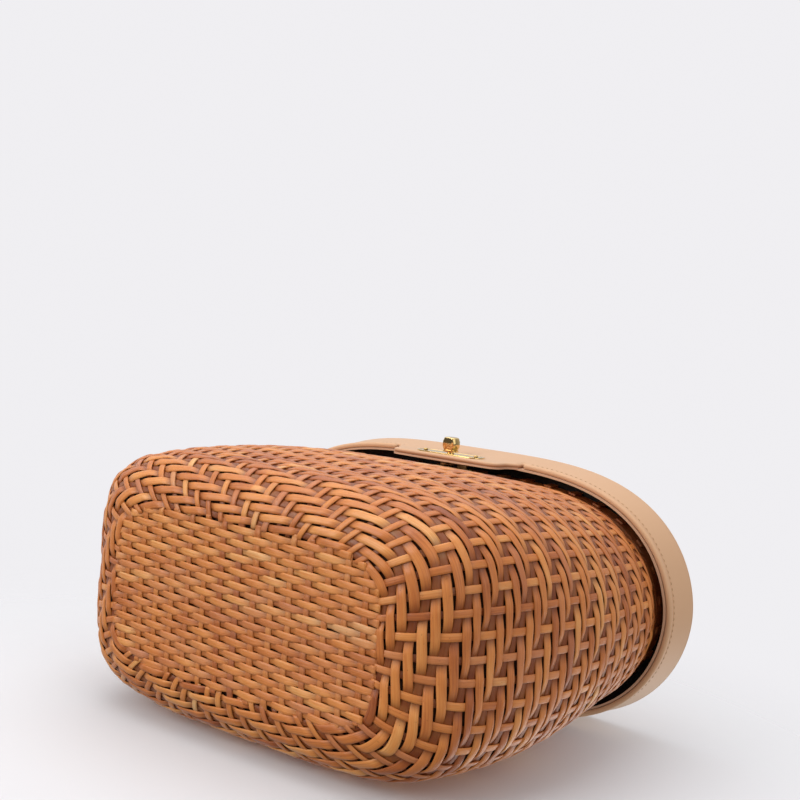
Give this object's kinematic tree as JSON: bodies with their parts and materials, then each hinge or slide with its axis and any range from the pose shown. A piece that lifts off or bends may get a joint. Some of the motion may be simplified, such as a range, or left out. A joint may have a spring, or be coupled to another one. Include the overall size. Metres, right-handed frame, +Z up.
{
  "type": "woven basket box bag",
  "caption": "Oblong woven cane basket bag with bulging sides, a leather-covered hinged lid, a front flap and a brass turn clasp.",
  "frame": {"origin": "middle of the base panel, on the surface that the bag stands on", "axes": "+X along the bag's long side, +Y from the front flap to the back hinge, +Z up"},
  "size_m": [0.2694, 0.1457, 0.1916],
  "materials": {
    "cane": "satin",
    "hoop_cane": "satin",
    "leather": "smooth",
    "inner_leather": "smooth",
    "lining_cloth": "matt",
    "board": "matt",
    "brass": "satin",
    "polished_brass": "polished"
  },
  "bodies": {
    "basket": {"woven_basket": "cane", "rim_hoop_outer": "hoop_cane", "rim_hoop_inner": "hoop_cane", "rim_lashing": "cane", "hinge_strap_basket": "leather", "hinge_rivets_basket": "brass", "keeper_plate": "brass", "keeper_rivets": "brass"},
    "lid": {"lid_board": "board", "lid_cover": "leather", "lid_skirt": "leather", "skirt_lining": "inner_leather", "lid_lining": "lining_cloth", "edge_welt": "leather", "flap_leather": "leather", "flap_lining": "inner_leather", "lock_plate": "polished_brass", "lock_backing": "brass", "lock_rivets": "brass", "hinge_strap_lid": "leather", "hinge_rivets_lid": "brass"},
    "clasp": {"turn_knob": "polished_brass", "knob_spindle": "polished_brass", "latch_cam": "brass", "cam_retainer": "brass"}
  },
  "joints": [
    {"name": "lid_hinge", "type": "hinge", "parent": "basket", "child": "lid", "pos_m": [0, 0.071, 0.1672], "axis": [-1, 0, 0], "range_deg": [0, 165]},
    {"name": "clasp_turn", "type": "hinge", "parent": "lid", "child": "clasp", "pos_m": [0, -0.0635, 0.1612], "axis": [0, -1, 0], "range_deg": [0, 90]}
  ]
}
